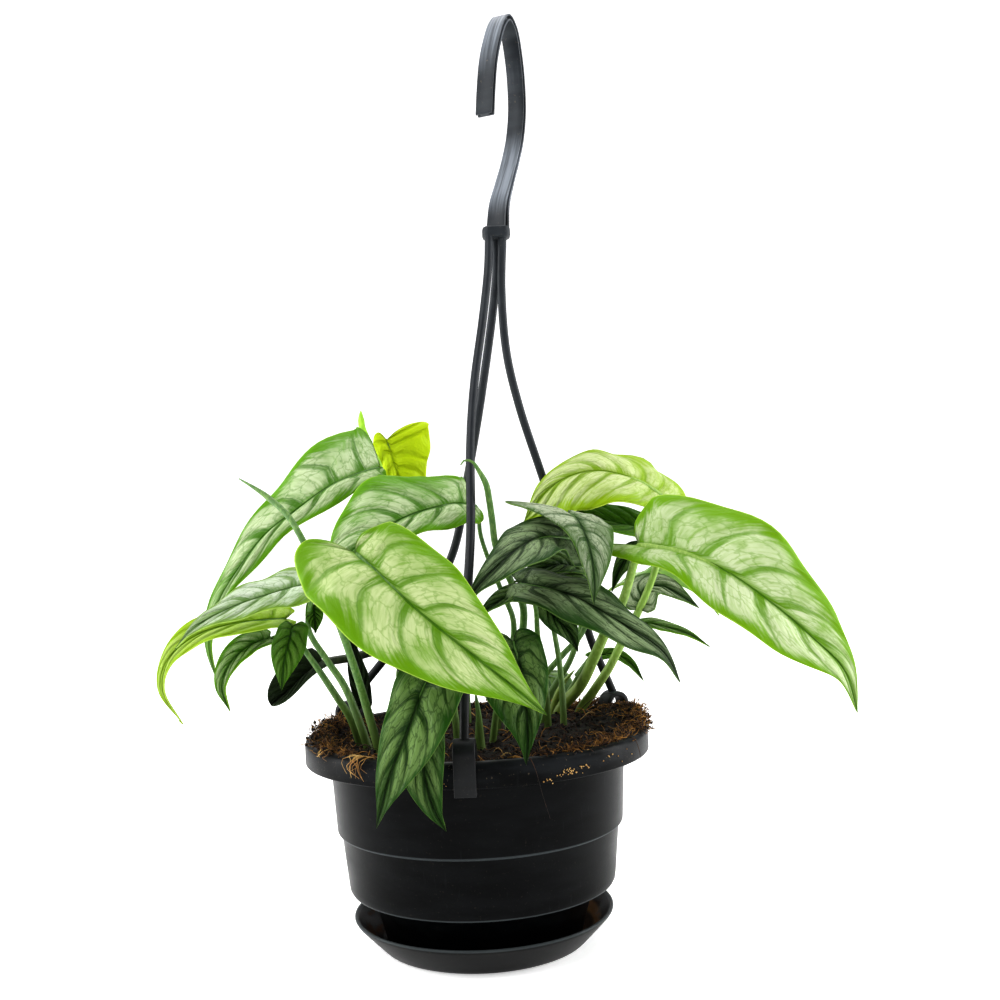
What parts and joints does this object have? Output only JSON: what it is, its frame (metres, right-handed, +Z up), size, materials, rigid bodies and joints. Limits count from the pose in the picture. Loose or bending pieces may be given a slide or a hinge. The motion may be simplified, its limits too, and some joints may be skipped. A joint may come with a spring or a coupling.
{
  "type": "potted trailing plant",
  "caption": "Young trailing monstera with silvery veined leaves in a round black plastic hanging pot with saucer and three-armed hook hanger.",
  "frame": {"origin": "centre of the saucer's flat underside", "axes": "+Z up, the pot's axis; -Y towards the viewer of the picture, +X to the viewer's right"},
  "size_m": [0.2841, 0.2103, 0.4124],
  "materials": {
    "pot_plastic": "matt black, dusty",
    "hanger_plastic": "semi-matt grey-black",
    "soil": "loose dark brown peat with coir fibres",
    "leaf_lime": "soft satin lime green with silvery patches between the veins",
    "leaf_silver": "satin silvery green with green veins",
    "leaf_green": "satin mid green with silvery patches",
    "leaf_dark": "satin dark green"
  },
  "bodies": {
    "root": {"saucer": "pot_plastic", "pot": "pot_plastic", "hanger_hook": "hanger_plastic", "hanger_arm_front": "hanger_plastic", "hanger_arm_right": "hanger_plastic", "hanger_arm_left": "hanger_plastic", "leaf_front_lime": "leaf_lime", "leaf_top_left": "leaf_green", "leaf_left_silver": "leaf_silver", "stem_left_low": "leaf_green", "leaf_back_yellow": "leaf_lime", "leaf_second": "leaf_green", "spear_left": "leaf_lime", "spear_middle": "leaf_green", "leaf_middle_dark": "leaf_dark", "leaf_long_dark": "leaf_dark", "leaf_under_long": "leaf_dark", "stem_right_big": "leaf_lime", "leaf_silver_saddle": "leaf_silver", "stem_right_top": "leaf_lime", "stem_right_back": "leaf_green", "leaf_middle_hanging": "leaf_dark", "leaf_front_hanging": "leaf_dark", "leaf_front_hanging_short": "leaf_dark", "leaf_curled_dark": "leaf_dark", "leaf_narrow_dark": "leaf_dark", "sheath_front": "leaf_green", "leaf_back_left": "leaf_green", "leaf_back_hanging": "leaf_dark", "leaf_back_hanging_short": "leaf_dark", "soil": "soil"}
  },
  "joints": []
}
